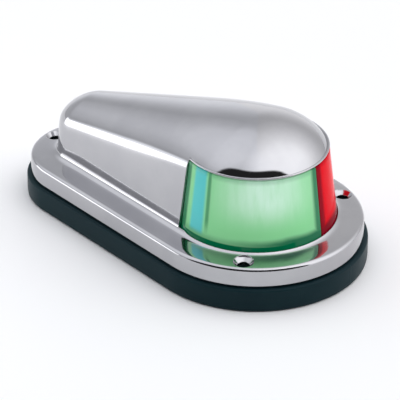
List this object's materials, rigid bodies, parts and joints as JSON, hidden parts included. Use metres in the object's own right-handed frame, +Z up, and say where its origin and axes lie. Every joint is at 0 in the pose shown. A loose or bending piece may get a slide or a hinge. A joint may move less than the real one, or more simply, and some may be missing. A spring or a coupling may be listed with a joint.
{
  "type": "navigation light",
  "caption": "Teardrop deck-mount bow light with a plated hood, wrap-round red and green lens, black base and a bayonet lamp inside.",
  "frame": {"origin": "on the deck face at the foot of the base, at the middle of the overall length and width", "axes": "+X forward over the bow to the lens end, +Y to port on the red side, +Z up from the deck"},
  "size_m": [0.126, 0.073, 0.0506],
  "materials": {
    "chrome_plate": "bright chrome plate on die-cast zinc",
    "black_moulding": "fine satin moulding",
    "black_rubber": "matt",
    "green_acrylic": "clear tinted, polished",
    "red_acrylic": "clear tinted, polished",
    "white_moulding": "satin",
    "brown_moulding": "satin phenolic",
    "brass": "drawn and pressed",
    "nickel_plate": "dull nickel plate",
    "stainless": "pressed sheet and wire",
    "lamp_glass": "clear",
    "solder": "dull",
    "tungsten": "drawn wire",
    "red_sleeving": "extruded",
    "black_sleeving": "extruded"
  },
  "bodies": {
    "base": {"mounting_base": "black_moulding", "wire_grommet": "black_rubber", "perimeter_seal": "black_rubber", "socket_shell": "nickel_plate", "socket_insulator": "brown_moulding", "contact_spring_1": "stainless", "contact_spring_2": "stainless", "socket_bracket": "stainless", "bracket_screw_1": "stainless", "bracket_screw_2": "stainless", "terminal_block": "white_moulding", "terminal_insert_1": "brass", "terminal_insert_2": "brass", "terminal_screw_1": "brass", "terminal_screw_2": "brass", "lead_1": "red_sleeving", "lead_2": "black_sleeving"},
    "hood": {"housing": "chrome_plate", "lens_green": "green_acrylic", "lens_red": "red_acrylic", "lens_divider": "white_moulding"},
    "plungers": {"contact_plunger_1": "brass", "contact_plunger_2": "brass"},
    "bulb": {"bulb_glass": "lamp_glass", "bulb_cap": "brass", "bulb_insulator": "brown_moulding", "bulb_tip_1": "solder", "bulb_tip_2": "solder", "bulb_stem": "lamp_glass", "filament_post_1": "nickel_plate", "filament_post_2": "nickel_plate", "bulb_filament": "tungsten"}
  },
  "joints": [
    {"name": "hood_lift", "type": "slide", "parent": "base", "child": "hood", "axis": [0, 0, 1], "range_m": [0, 0.05]},
    {"name": "bulb_push", "type": "slide", "parent": "base", "child": "plungers", "axis": [-1, 0, 0], "range_m": [0, 0.002], "stiffness_N_per_m": 1500, "deforming": ["contact_spring_1", "contact_spring_2"]},
    {"name": "bulb_twist", "type": "hinge", "parent": "plungers", "child": "bulb", "pos_m": [0, 0, 0.0281], "axis": [1, 0, 0], "range_deg": [0, 22]}
  ]
}
